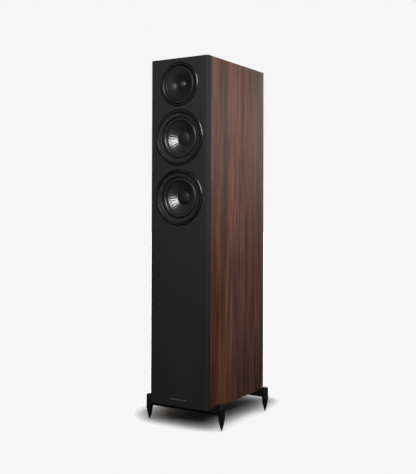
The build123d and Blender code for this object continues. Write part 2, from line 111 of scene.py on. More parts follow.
# ------------------------------------------------------------------ material building
class Mat:
    """A node tree with a Principled surface and short calls for adding nodes."""

    def __init__(self, name):
        self.m = bpy.data.materials.new(name)
        self.m.use_nodes = True
        self.t = self.m.node_tree
        self.b = self.t.nodes["Principled BSDF"]
        self.co = self.t.nodes.new("ShaderNodeTexCoord").outputs["Object"]

    def link(self, a, b):
        self.t.links.new(a, b)

    def node(self, kind, **props):
        n = self.t.nodes.new(kind)
        for k, v in props.items():
            setattr(n, k, v)
        return n

    def mapping(self, scale=(1, 1, 1), loc=(0, 0, 0), rot=(0, 0, 0), src=None):
        n = self.node("ShaderNodeMapping")
        n.inputs["Scale"].default_value = scale
        n.inputs["Location"].default_value = loc
        n.inputs["Rotation"].default_value = rot
        self.link(src or self.co, n.inputs["Vector"])
        return n.outputs["Vector"]

    def noise(self, scale, detail=3.0, rough=0.5, vec=None, dist=0.0):
        n = self.node("ShaderNodeTexNoise")
        n.inputs["Scale"].default_value = scale
        n.inputs["Detail"].default_value = detail
        n.inputs["Roughness"].default_value = rough
        n.inputs["Distortion"].default_value = dist
        self.link(vec or self.co, n.inputs["Vector"])
        return n.outputs["Fac"]

    def voronoi(self, scale, vec=None, feature="F1", out="Distance"):
        n = self.node("ShaderNodeTexVoronoi", feature=feature)
        n.inputs["Scale"].default_value = scale
        self.link(vec or self.co, n.inputs["Vector"])
        return n.outputs[out]

    def wave(self, scale, vec=None, dist=0.0, axis="X", profile="SIN", kind="BANDS"):
        n = self.node("ShaderNodeTexWave", wave_type=kind, wave_profile=profile)
        if kind == "BANDS":
            n.bands_direction = axis
        else:
            n.rings_direction = axis
        n.inputs["Scale"].default_value = scale
        n.inputs["Distortion"].default_value = dist
        n.inputs["Detail"].default_value = 0.0
        self.link(vec or self.co, n.inputs["Vector"])
        return n.outputs["Fac"]

    def ramp(self, fac, stops, interp="LINEAR"):
        n = self.node("ShaderNodeValToRGB")
        n.color_ramp.interpolation = interp
        el = n.color_ramp.elements
        while len(el) < len(stops):
            el.new(0.5)
        for e, (p, c) in zip(el, stops):
            e.position = p
            e.color = (*c, 1.0) if len(c) == 3 else c
        self.link(fac, n.inputs["Fac"])
        return n.outputs["Color"]

    def span(self, fac, lo, hi, from_lo=0.0, from_hi=1.0, clamp=True):
        n = self.node("ShaderNodeMapRange", clamp=clamp)
        n.inputs["From Min"].default_value = from_lo
        n.inputs["From Max"].default_value = from_hi
        n.inputs["To Min"].default_value = lo
        n.inputs["To Max"].default_value = hi
        self.link(fac, n.inputs["Value"])
        return n.outputs["Result"]

    def math(self, op, a, b=None):
        n = self.node("ShaderNodeMath", operation=op)
        for i, v in enumerate((a, b)):
            if v is None:
                continue
            if isinstance(v, (int, float)):
                n.inputs[i].default_value = v
            else:
                self.link(v, n.inputs[i])
        return n.outputs[0]

    def mix(self, fac, a, b, blend="MIX"):
        n = self.node("ShaderNodeMix", data_type="RGBA", blend_type=blend)
        for sock, v in ((n.inputs[0], fac), (n.inputs[6], a), (n.inputs[7], b)):
            if isinstance(v, (int, float)):
                sock.default_value = v
            elif isinstance(v, (tuple, list)):
                sock.default_value = (*v, 1.0)
            else:
                self.link(v, sock)
        return n.outputs[2]

    def bump(self, height, strength, distance, normal=None):
        n = self.node("ShaderNodeBump")
        n.inputs["Strength"].default_value = strength
        n.inputs["Distance"].default_value = distance
        self.link(height, n.inputs["Height"])
        if normal is not None:
            self.link(normal, n.inputs["Normal"])
        return n.outputs["Normal"]

    def set(self, **kw):
        names = {"color": "Base Color", "rough": "Roughness", "metal": "Metallic", "normal": "Normal",
                 "spec": "Specular IOR Level", "coat": "Coat Weight", "coat_rough": "Coat Roughness",
                 "sheen": "Sheen Weight", "sheen_rough": "Sheen Roughness", "aniso": "Anisotropic",
                 "sss": "Subsurface Weight", "trans": "Transmission Weight", "ior": "IOR",
                 "coat_normal": "Coat Normal"}
        for k, v in kw.items():
            sock = self.b.inputs[names[k]]
            if isinstance(v, (int, float)):
                sock.default_value = v
            elif isinstance(v, (tuple, list)):
                sock.default_value = (*v, 1.0)
            else:
                self.link(v, sock)
        return self

    def xyz(self):
        n = self.node("ShaderNodeSeparateXYZ")
        self.link(self.co, n.inputs[0])
        return n.outputs


def speckled(name, color, rough, spread=0.25, scale=900.0, bump=0.15, dist=0.00006, spec=0.5, rough_var=0.08,
             metal=0.0, coat=0.0, coat_rough=0.1, blotch=30.0):
    """Moulded or coated surface: fine grain in the bump, slow variation in colour and roughness."""
    m = Mat(name)
    slow = m.noise(blotch, 3.0)
    fine = m.noise(scale, 2.0)
    a = tuple(c * (1 - spread) for c in color)
    b = tuple(c * (1 + spread) for c in color)
    m.set(color=m.ramp(slow, [(0.3, a), (0.7, b)]),
          rough=m.span(m.noise(blotch * 5, 4.0), rough - rough_var, rough + rough_var, 0.3, 0.7),
          normal=m.bump(fine, bump, dist), spec=spec, metal=metal, coat=coat, coat_rough=coat_rough)
    return m.m


def satin_lacquer():
    """Sprayed satin black on fibreboard: very slight orange peel, faint dust and handling variation."""
    m = Mat("baffle_satin_black")
    peel = m.noise(420.0, 2.0)
    peel2 = m.noise(1600.0, 1.0)
    height = m.math("ADD", m.math("MULTIPLY", peel, 0.8), m.math("MULTIPLY", peel2, 0.35))
    slow = m.noise(9.0, 4.0)
    m.set(color=m.ramp(slow, [(0.25, (0.0190, 0.0190, 0.0198)), (0.75, (0.0230, 0.0229, 0.0234))]),
          rough=m.span(m.noise(60.0, 5.0), 0.52, 0.60, 0.3, 0.7),
          normal=m.bump(height, 0.09, 0.00010), spec=0.10)
    return m.m


def walnut(name, along, across, seed=0.0, tone=1.0):
    """Straight-grained walnut: broad colour bands, fine streaks, short dark pores along the grain.
    along and across are the axes (0 x, 1 y, 2 z) the grain runs along and across."""
    m = Mat(name)
    co = m.xyz()
    comb = m.node("ShaderNodeCombineXYZ")
    rest = ({0, 1, 2} - {along, across}).pop()
    m.link(co[across], comb.inputs[0])
    m.link(co[along], comb.inputs[1])
    m.link(co[rest], comb.inputs[2])
    base = comb.outputs[0]

    def stretched(sx, sy, loc=0.0):
        return m.mapping(scale=(sx, sy, sx), loc=(seed + loc, seed * 0.7 + loc, loc), src=base)

    # slow wander of the grain
    wander = m.noise(1.0, 2.0, 0.5, stretched(5.0, 1.6, 3.1))
    shift = m.node("ShaderNodeVectorMath", operation="MULTIPLY_ADD")
    comb2 = m.node("ShaderNodeCombineXYZ")
    m.link(m.span(wander, -0.016, 0.016), comb2.inputs[0])
    add = m.node("ShaderNodeVectorMath", operation="ADD")
    m.link(base, add.inputs[0])
    m.link(comb2.outputs[0], add.inputs[1])
    m.t.nodes.remove(shift)
    warped = add.outputs[0]

    def w(sx, sy, loc=0.0):
        return m.mapping(scale=(sx, sy, sx), loc=(seed + loc, seed * 0.7 + loc, loc), src=warped)

    bands = m.noise(1.0, 3.0, 0.55, w(22.0, 0.7, 1.7))
    streaks = m.noise(1.0, 4.0, 0.62, w(120.0, 4.5, 5.3))
    mid = m.noise(1.0, 2.0, 0.5, w(62.0, 3.2, 4.4))
    fine = m.noise(1.0, 3.0, 0.6, w(480.0, 11.0, 9.1))
    pores = m.noise(1.0, 2.0, 0.5, w(1900.0, 70.0, 2.9))
    hue = m.noise(1.0, 2.0, 0.5, w(9.0, 0.5, 7.7))

    t = tone
    c_band = m.ramp(bands, [(0.30, (0.066 * t, 0.0225 * t, 0.0135 * t)), (0.42, (0.104 * t, 0.0375 * t, 0.0225 * t)),
                            (0.54, (0.158 * t, 0.0640 * t, 0.0400 * t)), (0.68, (0.094 * t, 0.0335 * t, 0.0205 * t))])
    c_hue = m.mix(m.span(hue, 0.0, 0.75, 0.42, 0.62), c_band, (0.110 * t, 0.0510 * t, 0.0440 * t))
    c_mid = m.mix(1.0, c_hue, m.ramp(mid, [(0.36, (0.74, 0.69, 0.66)), (0.48, (1.0, 1.0, 1.0)), (0.62, (1.16, 1.14, 1.12))]), "MULTIPLY")
    c_streak = m.mix(1.0, c_mid, m.ramp(streaks, [(0.32, (0.52, 0.47, 0.45)), (0.47, (0.92, 0.90, 0.89)), (0.56, (1.12, 1.12, 1.12)), (0.70, (1.42, 1.44, 1.46))]), "MULTIPLY")
    c_fine = m.mix(1.0, c_streak, m.ramp(fine, [(0.30, (0.58, 0.55, 0.53)), (0.50, (1.0, 1.0, 1.0)), (0.72, (1.30, 1.29, 1.28))]), "MULTIPLY")
    pore = m.ramp(pores, [(0.30, (0, 0, 0)), (0.38, (1, 1, 1))])
    c_all = m.mix(m.math("MULTIPLY", m.math("SUBTRACT", 1.0, pore), 0.55), c_fine, (0.022, 0.011, 0.008))
    height = m.math("ADD", m.math("MULTIPLY", fine, 0.35), m.math("MULTIPLY", pore, 0.65))
    m.set(color=c_all, rough=m.span(streaks, 0.42, 0.56, 0.3, 0.7), spec=0.36,
          normal=m.bump(height, 0.22, 0.00010))
    return m.m


def cone_mica(name, cz, base=0.009):
    """Mica-filled plastic: dark grey with fine bright flecks and faint concentric tooling marks."""
    m = Mat(name)
    co = m.xyz()
    dz = m.math("SUBTRACT", co[2], cz)
    radius = m.math("SQRT", m.math("ADD", m.math("MULTIPLY", co[0], co[0]), m.math("MULTIPLY", dz, dz)))
    fleck = m.voronoi(2600.0)
    spark = m.ramp(fleck, [(0.0, (1, 1, 1)), (0.16, (0.2, 0.2, 0.2)), (0.35, (0, 0, 0))])
    slow = m.noise(60.0, 3.0, 0.5)
    dark = m.ramp(slow, [(0.3, (base * 0.85,) * 3), (0.7, (base * 1.15, base * 1.15, base * 1.2))])
    col = m.mix(m.math("MULTIPLY", spark, 0.22), dark, (0.09, 0.09, 0.095))
    lathe_marks = m.math("SINE", m.math("MULTIPLY", radius, 14000.0))
    height = m.math("ADD", m.math("MULTIPLY", m.noise(2400.0, 1.0), 0.5), m.math("MULTIPLY", lathe_marks, 0.06))
    m.set(color=col, rough=m.span(slow, 0.35, 0.365, 0.3, 0.7), spec=0.5, ior=2.0,
          normal=m.bump(height, 0.04, 0.00004))
    return m.m


def rubber(name, cz):
    """Butyl roll: smooth and dark, with a soft sheen and faint mould lines running round it."""
    m = Mat(name)
    co = m.xyz()
    dz = m.math("SUBTRACT", co[2], cz)
    radius = m.math("SQRT", m.math("ADD", m.math("MULTIPLY", co[0], co[0]), m.math("MULTIPLY", dz, dz)))
    lines = m.math("SINE", m.math("MULTIPLY", radius, 9000.0))
    height = m.math("ADD", m.math("MULTIPLY", m.noise(1400.0, 2.0), 0.7), m.math("MULTIPLY", lines, 0.12))
    slow = m.noise(70.0, 4.0)
    m.set(color=m.ramp(slow, [(0.3, (0.0085, 0.0085, 0.009)), (0.7, (0.0125, 0.0125, 0.013))]),
          rough=m.span(slow, 0.30, 0.42, 0.3, 0.7), spec=0.5, normal=m.bump(height, 0.14, 0.00008),
          sheen=0.06, sheen_rough=0.4)
    return m.m


def woven_dome(name):
    """Coated textile: fine over-and-under weave under a glossy doping."""
    m = Mat(name)
    wx = m.wave(900.0, axis="X")
    wz = m.wave(900.0, axis="Z")
    weave = m.math("MULTIPLY", wx, wz)
    slow = m.noise(300.0, 3.0)
    m.set(color=m.ramp(m.math("ADD", m.math("MULTIPLY", weave, 0.6), m.math("MULTIPLY", slow, 0.4)),
                       [(0.1, (0.006, 0.006, 0.0065)), (0.8, (0.017, 0.017, 0.018))]),
          rough=m.span(slow, 0.38, 0.46, 0.3, 0.7), spec=0.34,
          normal=m.bump(weave, 0.20, 0.00004))
    return m.m


def turned_metal(name, color, rough, metal=1.0, pitch=5200.0, spec=0.5):
    """Turned part: fine tool marks round the upright axis, satin."""
    m = Mat(name)
    marks = m.wave(pitch / 20.0, axis="Z", dist=0.4)
    scr = m.noise(1.0, 3.0, 0.6, m.mapping(scale=(200, 200, 2600)))
    slow = m.noise(60.0, 3.0)
    height = m.math("ADD", m.math("MULTIPLY", marks, 0.3), m.math("MULTIPLY", scr, 0.7))
    m.set(color=m.ramp(slow, [(0.3, tuple(c * 0.8 for c in color)), (0.7, tuple(c * 1.2 for c in color))]),
          rough=m.span(scr, rough - 0.07, rough + 0.09, 0.3, 0.7), metal=metal, spec=spec,
          normal=m.bump(height, 0.16, 0.00006))
    return m.m


def brushed(name, color, rough, axis=0):
    """Fine straight brushing along one axis."""
    m = Mat(name)
    sc = [2600.0, 2600.0, 2600.0]
    sc[axis] = 18.0
    lines = m.noise(1.0, 4.0, 0.7, m.mapping(scale=tuple(sc)))
    m.set(color=m.ramp(lines, [(0.3, tuple(c * 0.78 for c in color)), (0.7, tuple(min(1, c * 1.15) for c in color))]),
          rough=m.span(lines, rough - 0.08, rough + 0.12, 0.3, 0.7), metal=1.0,
          normal=m.bump(lines, 0.2, 0.00004))
    return m.m


def fibre(name):
    m = Mat(name)
    strands = m.noise(1.0, 5.0, 0.7, m.mapping(scale=(260, 420, 300)), dist=1.5)
    clumps = m.noise(38.0, 4.0)
    m.set(color=m.ramp(clumps, [(0.3, (0.55, 0.54, 0.51)), (0.7, (0.82, 0.81, 0.78))]), rough=0.95, spec=0.1,
          normal=m.bump(strands, 0.8, 0.002), sheen=0.3)
    return m.m


def raw_board(name):
    m = Mat(name)
    fib = m.noise(900.0, 4.0, 0.7)
    slow = m.noise(25.0, 3.0)
    m.set(color=m.mix(0.5, m.ramp(fib, [(0.3, (0.26, 0.17, 0.10)), (0.7, (0.42, 0.29, 0.18))]),
                      m.ramp(slow, [(0.3, (0.30, 0.20, 0.12)), (0.7, (0.36, 0.25, 0.15))])),
          rough=0.82, spec=0.2, normal=m.bump(fib, 0.3, 0.0002))
    return m.m


def wound_copper(name):
    m = Mat(name)
    turns = m.wave(260.0, axis="Y")
    m.set(color=m.ramp(turns, [(0.1, (0.28, 0.09, 0.04)), (0.8, (0.75, 0.33, 0.17))]), rough=0.3, metal=0.9,
          normal=m.bump(turns, 0.4, 0.0001))
    return m.m


MATS = {
    "baffle_lacquer": satin_lacquer(),
    "walnut": walnut("walnut_upright", 2, 1),
    "inner_board": raw_board("raw_fibreboard"),
    "fibre": fibre("polyester_fibre"),
    "trim_plastic": speckled("trim_satin_plastic", (0.0125, 0.0125, 0.0128), 0.42, scale=1500, bump=0.14, spec=0.4),
    "bead_foot": speckled("bead_foot_black", (0.0032, 0.0032, 0.0033), 0.34, scale=1500, bump=0.10, spec=0.2),
    "bead": speckled("bead_gloss_black", (0.0022, 0.0022, 0.0023), 0.20, scale=600, bump=0.03, spec=0.42, rough_var=0.03),
    "waveguide": speckled("waveguide_satin_plastic", (0.0095, 0.0095, 0.0097), 0.40, scale=1500, bump=0.10, spec=0.28),
    "surround_rubber": rubber("surround_rubber_any", Z_WF),
    "cone_mica": cone_mica("cone_mica_any", Z_WF),
    "cap_soft": speckled("cap_soft_touch", (0.0075, 0.0075, 0.0077), 0.56, scale=1800, bump=0.2, spec=0.3),
    "dome_textile": woven_dome("dome_coated_textile"),
    "copper_coil": wound_copper("copper_winding"),
    "spider_cloth": speckled("spider_cloth", (0.42, 0.27, 0.10), 0.8, scale=1300, bump=0.6, dist=0.0002, spec=0.2),
    "motor_steel": speckled("ferrite_and_steel", (0.055, 0.055, 0.058), 0.5, scale=500, bump=0.3, spec=0.4, metal=0.4),
    "basket_steel": speckled("basket_powder_coat", (0.014, 0.014, 0.0145), 0.45, scale=1100, bump=0.3, spec=0.45),
    "foot_black": speckled("foot_powder_coat", (0.0042, 0.0042, 0.0044), 0.50, scale=1500, bump=0.30, dist=0.00008, spec=0.4),
    "spike_black": turned_metal("spike_black_anodised", (0.016, 0.016, 0.017), 0.36, metal=0.6),
    "screw_steel": turned_metal("zinc_plated_steel", (0.42, 0.42, 0.43), 0.30),
    "screw_black": speckled("screw_black_zinc", (0.03, 0.03, 0.031), 0.35, scale=1800, bump=0.2, metal=0.8),
    "terminal_plastic": speckled("terminal_moulded_plastic", (0.012, 0.012, 0.012), 0.42, scale=1300, bump=0.28, spec=0.45),
    "gold_brass": turned_metal("gold_plated_brass", (0.86, 0.58, 0.20), 0.20, metal=1.0),
    "cap_red": speckled("cap_red_plastic", (0.42, 0.012, 0.010), 0.22, spread=0.12, scale=700, bump=0.06, spec=0.55, coat=0.4),
    "cap_black": speckled("cap_black_plastic", (0.010, 0.010, 0.010), 0.24, scale=700, bump=0.06, spec=0.55, coat=0.4),
    "port_plastic": speckled("port_moulded_plastic", (0.012, 0.012, 0.0122), 0.44, scale=1300, bump=0.26, spec=0.45),
    "inlay_metal": brushed("inlay_brushed_metal", (0.30, 0.30, 0.305), 0.46, axis=0),
    "electronics": speckled("potted_components", (0.10, 0.075, 0.05), 0.4, spread=0.6, scale=400, bump=0.1, blotch=24.0),
    "lead_sheath": speckled("lead_sheath_red_black", (0.16, 0.02, 0.018), 0.45, scale=900, bump=0.1),
}
WALNUT_TOP = walnut("walnut_across_top", 0, 1, seed=2.3)
WALNUT_REAR = walnut("walnut_rear", 2, 0, seed=5.9)
CONE = {"midrange": cone_mica("cone_mica_midrange", Z_MID), "woofer": cone_mica("cone_mica_woofer", Z_WF)}
RUBBER = {"midrange": rubber("surround_rubber_midrange", Z_MID), "woofer": rubber("surround_rubber_woofer", Z_WF)}

slot_of = {s["node"]: s["material_slot"] for s in frame["record"]["subparts"]}
for name, obj in NODES.items():
    for i in range(max(1, len(obj.material_slots))):
        if not obj.material_slots:
            obj.data.materials.append(MATS[slot_of[name]])
        else:
            obj.material_slots[i].material = MATS[slot_of[name]]


# ------------------------------------------------------------------ mesh building
def finish_mesh(name, bm, mat, body, replaces=(), angle=32.0):
    bmesh.ops.remove_doubles(bm, verts=bm.verts, dist=1e-7)
    bmesh.ops.recalc_face_normals(bm, faces=bm.faces)
    me = bpy.data.meshes.new(name)
    bm.to_mesh(me)
    bm.free()
    for p in me.polygons:
        p.use_smooth = True
    me.set_sharp_from_angle(angle=math.radians(angle))
    ob = bpy.data.objects.new(name, me)
    SCENE.collection.objects.link(ob)
    ob.data.materials.append(mat)
    if body:
        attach(ob, body)
    if replaces:
        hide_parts(*replaces)
    return ob


def arc3(p0, pm, p1, n):
    """Points along the circle through three points, without the first."""
    (x1, y1), (x2, y2), (x3, y3) = p0, pm, p1
    d = 2 * (x1 * (y2 - y3) + x2 * (y3 - y1) + x3 * (y1 - y2))
    cx = ((x1**2 + y1**2) * (y2 - y3) + (x2**2 + y2**2) * (y3 - y1) + (x3**2 + y3**2) * (y1 - y2)) / d
    cy = ((x1**2 + y1**2) * (x3 - x2) + (x2**2 + y2**2) * (x1 - x3) + (x3**2 + y3**2) * (x2 - x1)) / d
    rad = math.hypot(x1 - cx, y1 - cy)
    a0 = math.atan2(y1 - cy, x1 - cx)
    am = math.atan2(y2 - cy, x2 - cx)
    a1 = math.atan2(y3 - cy, x3 - cx)
    two = 2 * math.pi
    if (am - a0) % two < (a1 - a0) % two:
        sweep = (a1 - a0) % two
    else:
        sweep = -((a0 - a1) % two)
    return [(cx + rad * math.cos(a0 + sweep * i / n), cy + rad * math.sin(a0 + sweep * i / n)) for i in range(1, n + 1)]


def path2d(start, *steps, n=12, round_at=None):
    """A point list in (r, u) millimetres. A step is a point, or (through, end) for an arc."""
    pts = [start]
    for s in steps:
        if isinstance(s[0], (tuple, list)):
            pts += arc3(pts[-1], s[0], s[1], n)
        else:
            pts.append(tuple(s))
    return pts


def cap_arc(r1, u0, u1):
    h = u1 - u0
    big = (r1 * r1 + h * h) / (2 * h)
    rm = r1 / 2
    return (rm, u0 + big - math.sqrt(big * big - rm * rm))


def split_long(pts, step, closed):
    out = []
    m = len(pts)
    for i in range(m if closed else m - 1):
        a, b = pts[i], pts[(i + 1) % m]
        k = max(1, int(math.dist(a, b) / step))
        out += [(a[0] + (b[0] - a[0]) * j / k, a[1] + (b[1] - a[1]) * j / k) for j in range(k)]
    if not closed:
        out.append(pts[-1])
    return out


def lathe_bm(pts, place, seg=256, closed=True, shift=None):
    """Turns a profile about an axis. place(r, angle, u) gives the point. shift(r, angle, u) may move u."""
    bm = bmesh.new()
    rings = []
    for r, u in pts:
        if r < 1e-6:
            rings.append([bm.verts.new(place(0.0, 0.0, u))])
        else:
            ring = []
            for k in range(seg):
                a = 2 * math.pi * k / seg
                du = shift(r, a, u) if shift else 0.0
                ring.append(bm.verts.new(place(r, a, u + du)))
            rings.append(ring)
    m = len(rings)
    for i in range(m if closed else m - 1):
        a, b = rings[i], rings[(i + 1) % m]
        if len(a) == 1 and len(b) == 1:
            continue
        for k in range(seg):
            k2 = (k + 1) % seg
            if len(a) == 1:
                bm.faces.new((a[0], b[k], b[k2]))
            elif len(b) == 1:
                bm.faces.new((a[k], b[0], a[k2]))
            else:
                bm.faces.new((a[k], b[k], b[k2], a[k2]))
    return bm


def about_y(cx, cz):
    return lambda r, a, u: (cx + r * MM * math.cos(a), yu(u), cz + r * MM * math.sin(a))


def about_z(cx, cy):
    return lambda r, a, z: (cx + r * MM * math.cos(a), cy + r * MM * math.sin(a), z * MM)


def prism(poly, levels, place):
    """Skins a closed outline through levels of (height, function that adjusts the outline)."""
    bm = bmesh.new()
    rings = []
    for h, adjust in levels:
        rings.append([bm.verts.new(place(x, y, h)) for x, y in adjust(poly)])
    n = len(rings[0])
    for a, b in zip(rings, rings[1:]):
        for k in range(n):
            k2 = (k + 1) % n
            bm.faces.new((a[k], b[k], b[k2], a[k2]))
    bm.faces.new(rings[0])
    bm.faces.new(rings[-1])
    return bm


def join_bm(*bms):
    out = bmesh.new()
    for b in bms:
        me = bpy.data.meshes.new("tmp")
        b.to_mesh(me)
        b.free()
        out.from_mesh(me)
        bpy.data.meshes.remove(me)
    return out


def boolean(ob, cutter_bm, op="DIFFERENCE"):
    """Applies a boolean with a temporary mesh."""
    me = bpy.data.meshes.new("cutter")
    bmesh.ops.recalc_face_normals(cutter_bm, faces=cutter_bm.faces)
    cutter_bm.to_mesh(me)
    cutter_bm.free()
    co = bpy.data.objects.new("cutter", me)
    SCENE.collection.objects.link(co)
    mod = ob.modifiers.new("cut", "BOOLEAN")
    mod.operation = op
    mod.solver = "EXACT"
    mod.object = co
    apply_modifiers(ob)
    bpy.data.objects.remove(co)
    bpy.data.meshes.remove(me)


def apply_modifiers(ob):
    dg = bpy.context.evaluated_depsgraph_get()
    dg.update()
    me = bpy.data.meshes.new_from_object(ob.evaluated_get(dg), preserve_all_data_layers=True, depsgraph=dg)
    old = ob.data
    ob.modifiers.clear()
    ob.data = me
    me.name = old.name
    bpy.data.meshes.remove(old)


def tidy(ob, angle=32.0):
    me = ob.data
    for p in me.polygons:
        p.use_smooth = True
    me.set_sharp_from_angle(angle=math.radians(angle))


def cyl_bm(r, u0, u1, cx, cz, seg=256):
    return lathe_bm([(0, u0), (r, u0), (r, u1), (0, u1)], about_y(cx, cz), seg, closed=False)


# ------------------------------------------------------------------ front baffle
def baffle_outline(r=5.0, n=10):
    """Cross-section of the baffle seen from above, in (x, u) millimetres: rounded front upright edges."""
    w = HALF_W / MM
    t = (HI.y - LO.y) / MM
    pts = [(w, t), (w, r)]
    pts += [(w - r + r * math.cos(a), r - r * math.sin(a)) for a in (math.pi / 2 * i / n for i in range(1, n + 1))]
    pts += [(-w + r - r * math.sin(a), r - r * math.cos(a)) for a in (math.pi / 2 * i / n for i in range(0, n + 1))]
    pts += [(-w, t)]
    return pts


def inset_front(amount):
    def f(poly):
        return [(x * (1 - 0.0), u + amount * max(0.0, 1 - u / 18.0)) for x, u in poly]
    return f


def end_round(rr, n=5):
    """Levels near an end: the front face steps back along a quarter round."""
    out = []
    for i in range(n + 1):
        a = math.pi / 2 * i / n
        out.append((rr - rr * math.sin(a), rr - rr * math.cos(a)))   # (distance from the end, set-back)
    return out


zb, zt = ZBOT / MM, ZTOP / MM
levels = []
rr = 1.5
for i in range(6):
    a = math.pi / 2 * i / 5
    levels.append((zb + rr * (1 - math.sin(a)), inset_front(rr * (1 - math.cos(a)))))
levels = sorted(((h, f) for h, f in levels), key=lambda t: t[0])
levels = [(zb + rr * (1 - math.cos(math.pi / 2 * i / 5)), inset_front(rr * (1 - math.sin(math.pi / 2 * i / 5)))) for i in range(6)]
levels += [(zt - rr * (1 - math.cos(math.pi / 2 * i / 5)), inset_front(rr * (1 - math.sin(math.pi / 2 * i / 5)))) for i in range(5, -1, -1)]
bm = prism(baffle_outline(), levels, lambda x, u, h: (x * MM, yu(u), h * MM))
baffle = finish_mesh("baffle_front_panel", bm, MATS["baffle_lacquer"], None)
for zc, r_rec, d_rec, r_thr in ((Z_TW, 57.0, 6.0, 40.0), (Z_MID, 73.4, 9.5, 60.0), (Z_WF, 73.4, 9.5, 60.0)):
    boolean(baffle, lathe_bm([(0, -2), (r_rec, -2), (r_rec, d_rec), (r_thr, d_rec), (r_thr, 20), (0, 20)],
                             about_y(0, zc), 192, closed=False))
blo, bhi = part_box("badge_inlay")
pocket = bmesh.new()
bmesh.ops.create_cube(pocket, size=1.0)
for v in pocket.verts:
    v.co = Vector((v.co.x * (bhi.x - blo.x), (blo.y + bhi.y) / 2 + v.co.y * (bhi.y - blo.y) - 0.0, (blo.z + bhi.z) / 2 + v.co.z * (bhi.z - blo.z)))
for v in pocket.verts:
    if v.co.y < YF:
        v.co.y = YF - 0.002
boolean(baffle, pocket)
tidy(baffle, 30)
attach(baffle, "cabinet")
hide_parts("front_baffle")

# inlay strip with softened edges
bm = bmesh.new()
bmesh.ops.create_cube(bm, size=1.0)
for v in bm.verts:
    v.co = Vector((v.co.x * (bhi.x - blo.x - 0.0001), (blo.y + bhi.y) / 2 + v.co.y * (bhi.y - blo.y), (blo.z + bhi.z) / 2 + v.co.z * (bhi.z - blo.z - 0.0001)))
bmesh.ops.bevel(bm, geom=bm.edges[:], offset=0.00025, segments=3, affect="EDGES", profile=0.5)
finish_mesh("inlay_strip", bm, MATS["inlay_metal"], "cabinet", ["badge_inlay"], angle=40)


# ------------------------------------------------------------------ walnut wrap
def wrap_panel(name, side, mat, node):
    """Mitred panel of the folded wrap: half of each rounded outer corner belongs to it."""
    w, t, r = HALF_W / MM, 15.0, 1.0
    z0, z1 = ZBOT / MM, ZTOP / MM
    n = 4

    def outline(k):
        # k: how far the outer face is set in at the rear edge
        ww, a0, a1 = w - k, z0 + k, z1 - k
        if side in ("right", "left"):
            s = 1 if side == "right" else -1
            pts = [(s * (w - t), z1 - t)]
            pts += [(s * (ww - r + r * math.cos(b)), a1 - r + r * math.sin(b)) for b in (math.pi / 4 * (n - i) / n for i in range(n + 1))]
            pts += [(s * (ww - r + r * math.cos(b)), a0 + r - r * math.sin(b)) for b in (math.pi / 4 * i / n for i in range(n + 1))]
            pts += [(s * (w - t), z0 + t)]
        else:
            s, zz = (1, a1) if side == "top" else (-1, a0)
            zi = z1 - t if side == "top" else z0 + t
            pts = [(-(w - t), zi)]
            pts += [(-(ww - r) - r * math.sin(b), zz - s * r + s * r * math.cos(b)) for b in (math.pi / 4 * (n - i) / n for i in range(n + 1))]
            pts += [((ww - r) + r * math.sin(b), zz - s * r + s * r * math.cos(b)) for b in (math.pi / 4 * i / n for i in range(n + 1))]
            pts += [((w - t), zi)]
        return pts

    d = DEPTH / MM
    lv = [(18.0, 0.35), (18.35, 0.0), (d - 0.8, 0.0), (d - 0.45, 0.12), (d - 0.12, 0.45), (d, 0.8)]
    bm = bmesh.new()
    rings = [[bm.verts.new((x * MM, yu(u), z * MM)) for x, z in outline(k)] for u, k in lv]
    m = len(rings[0])
    for a, b in zip(rings, rings[1:]):
        for k in range(m):
            k2 = (k + 1) % m
            bm.faces.new((a[k], b[k], b[k2], a[k2]))
    bm.faces.new(rings[0])
    bm.faces.new(rings[-1])
    return finish_mesh(name, bm, mat, "cabinet", [node], angle=25)


wrap_panel("walnut_side_right", "right", MATS["walnut"], "side_panel_right")
wrap_panel("walnut_side_left", "left", walnut("walnut_upright_left", 2, 1, seed=11.0), "side_panel_left")
wrap_panel("walnut_top", "top", WALNUT_TOP, "top_panel")
for slot_ in NODES["bottom_panel"].material_slots:
    slot_.material = WALNUT_TOP
for slot_ in NODES["rear_panel"].material_slots:
    slot_.material = WALNUT_REAR


# ------------------------------------------------------------------ drivers
CONE_FRONT = [(39.9, 9.5), (26.4, 18.6), (12.9, 30.0)]


def cone_pts(n=44):
    return [CONE_FRONT[0]] + arc3(*CONE_FRONT, n)


def face_at(r):
    pts = cone_pts(400)
    return min(pts, key=lambda p: abs(p[0] - r))[1]


RIBS = 28


def rib_shift(r, a, u):
    """Raised radial ribs on the inner half of the cone, towards the front."""
    lo = min(1.0, max(0.0, (r - 17.8) / 2.0))
    hi = min(1.0, max(0.0, (37.5 - r) / 4.0))
    w = (lo * lo * (3 - 2 * lo)) * (hi * hi * (3 - 2 * hi))
    return -0.013 * r * w * (0.5 + 0.5 * math.cos(a * RIBS))


def satin_feet(ob, zc, r0, r1):
    """The gloss sits on the bead's crown, between radii r0 and r1; the rest of the ring is dark and flat."""
    ob.data.materials.append(MATS["bead_foot"])
    for f in ob.data.polygons:
        c = f.center
        r = math.hypot(c.x, c.z - zc) / MM
        if r < r0 or r > r1:
            f.material_index = 1


